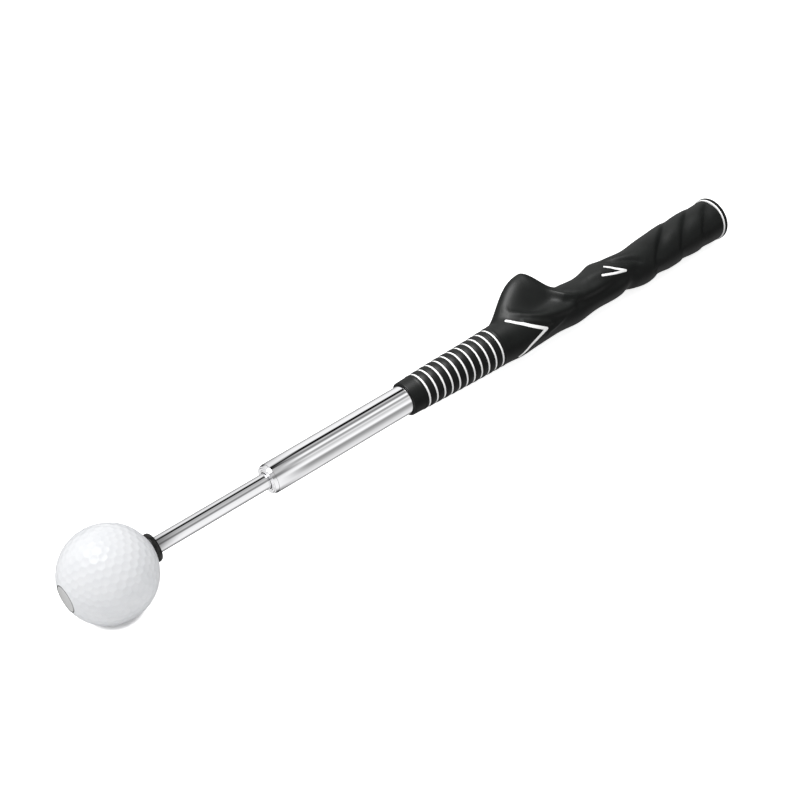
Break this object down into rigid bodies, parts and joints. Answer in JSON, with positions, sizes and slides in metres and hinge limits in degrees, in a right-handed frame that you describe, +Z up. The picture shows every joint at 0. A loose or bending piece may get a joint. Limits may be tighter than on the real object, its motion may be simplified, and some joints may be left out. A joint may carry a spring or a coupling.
{
  "type": "telescopic golf swing trainer",
  "caption": "Telescopic golf swing trainer: a golf ball on a nest of chrome tubes that pull out, with a moulded black training grip.",
  "frame": {"origin": "centre of the flat butt face of the grip, on the shaft axis", "axes": "shaft along X, ball end towards -X; +Z up with the trainer lying on its side, thumb fin leaning 38 degrees above +Y"},
  "size_m": [0.3923, 0.0426, 0.0426],
  "materials": {
    "ball_white": "glossy white urethane, dimpled",
    "ball_core_rubber": "matte",
    "chrome": "mirror chrome plate on steel",
    "steel": "turned",
    "end_cap_grey": "satin light grey",
    "collar_black": "semi-gloss black",
    "brass": "turned",
    "sleeve_nylon": "natural nylon",
    "spring_steel": "spring temper",
    "grip_rubber": "matte black moulded rubber",
    "inlay_white": "white paint-filled rubber",
    "tape": "masking tape, double sided"
  },
  "bodies": {
    "handle": {"grip_body": "grip_rubber", "grip_rings": "inlay_white", "large_v_inlay": "inlay_white", "small_v_inlay": "inlay_white", "grip_tape": "tape", "butt_ring": "inlay_white", "butt_cap": "grip_rubber", "outer_tube": "chrome", "stop_plug": "sleeve_nylon", "rear_plug": "sleeve_nylon"},
    "first_sleeve": {"first_stage_sleeve": "sleeve_nylon", "first_stage_spring_ring": "spring_steel"},
    "first_stage": {"first_stage_tube": "chrome", "first_stage_fitting": "brass"},
    "second_sleeve": {"second_stage_sleeve": "sleeve_nylon", "second_stage_spring_ring": "spring_steel"},
    "second_stage": {"second_stage_tube": "chrome", "second_stage_fitting": "brass"},
    "rod_grip_sleeve": {"rod_sleeve": "sleeve_nylon", "rod_spring_ring": "spring_steel"},
    "ball_rod": {"tip_rod": "chrome", "rod_fitting": "brass", "rod_nut": "brass", "ball_cover": "ball_white", "ball_core": "ball_core_rubber", "ball_insert": "steel", "ball_end_cap": "end_cap_grey", "ball_collar": "collar_black", "ball_screw": "steel", "ball_washer": "steel"}
  },
  "joints": [
    {"name": "first_slide", "type": "slide", "parent": "handle", "child": "first_sleeve", "axis": [-1, 0, 0], "range_m": [0, 0.148]},
    {"name": "first_twist", "type": "hinge", "parent": "first_sleeve", "child": "first_stage", "pos_m": [-0.1336, 0, 0], "axis": [-1, 0, 0], "continuous": true},
    {"name": "second_slide", "type": "slide", "parent": "first_stage", "child": "second_sleeve", "axis": [-1, 0, 0], "range_m": [0, 0.126]},
    {"name": "second_twist", "type": "hinge", "parent": "second_sleeve", "child": "second_stage", "pos_m": [-0.156, 0, 0], "axis": [-1, 0, 0], "continuous": true},
    {"name": "rod_slide", "type": "slide", "parent": "second_stage", "child": "rod_grip_sleeve", "axis": [-1, 0, 0], "range_m": [0, 0.104]},
    {"name": "rod_twist", "type": "hinge", "parent": "rod_grip_sleeve", "child": "ball_rod", "pos_m": [-0.1784, 0, 0], "axis": [-1, 0, 0], "continuous": true}
  ]
}
